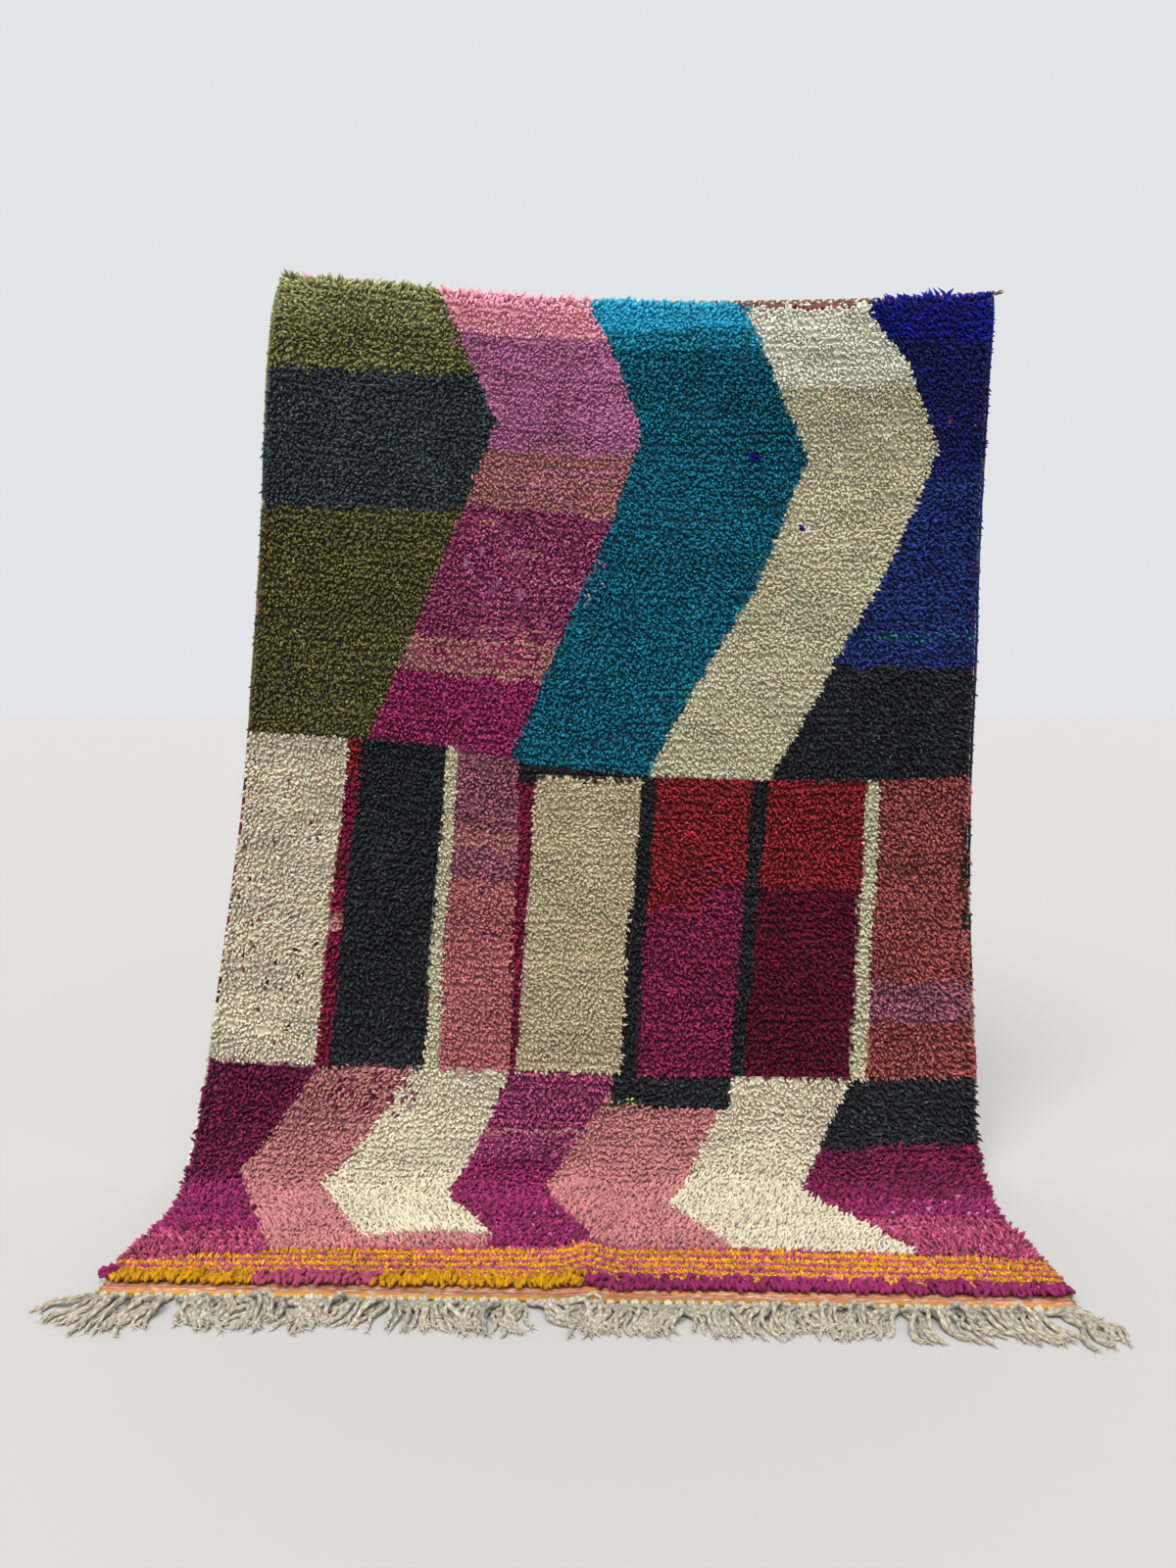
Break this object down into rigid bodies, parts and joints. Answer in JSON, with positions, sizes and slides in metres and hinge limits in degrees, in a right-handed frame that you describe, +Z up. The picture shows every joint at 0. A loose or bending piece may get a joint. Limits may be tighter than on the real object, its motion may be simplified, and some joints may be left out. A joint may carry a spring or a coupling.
{
  "type": "boujaad rug",
  "caption": "Hand-knotted wool pile rug hung from its top edge, its front end and knotted warp fringe lying on the floor.",
  "frame": {"origin": "middle of the floor area that the rug covers, at floor level", "axes": "+Z up, +Y from the fringe towards the hanging cloth and its woven back, +X to the right of someone who looks at the pile"},
  "size_m": [1.444, 0.7176, 1.5646],
  "materials": {
    "pile": "thick hand-knotted wool pile in chevrons, blocks and stripes, matt",
    "selvedge": "overcast wool yarn in changing colours, matt",
    "top_cord": "braided brown and beige wool cord, matt",
    "fringe": "twisted and knotted grey-cream warp ends, matt"
  },
  "bodies": {
    "root": {"pile_cloth": "pile", "selvedge_left": "selvedge", "selvedge_right": "selvedge", "top_cord": "top_cord", "warp_fringe": "fringe"}
  },
  "joints": []
}
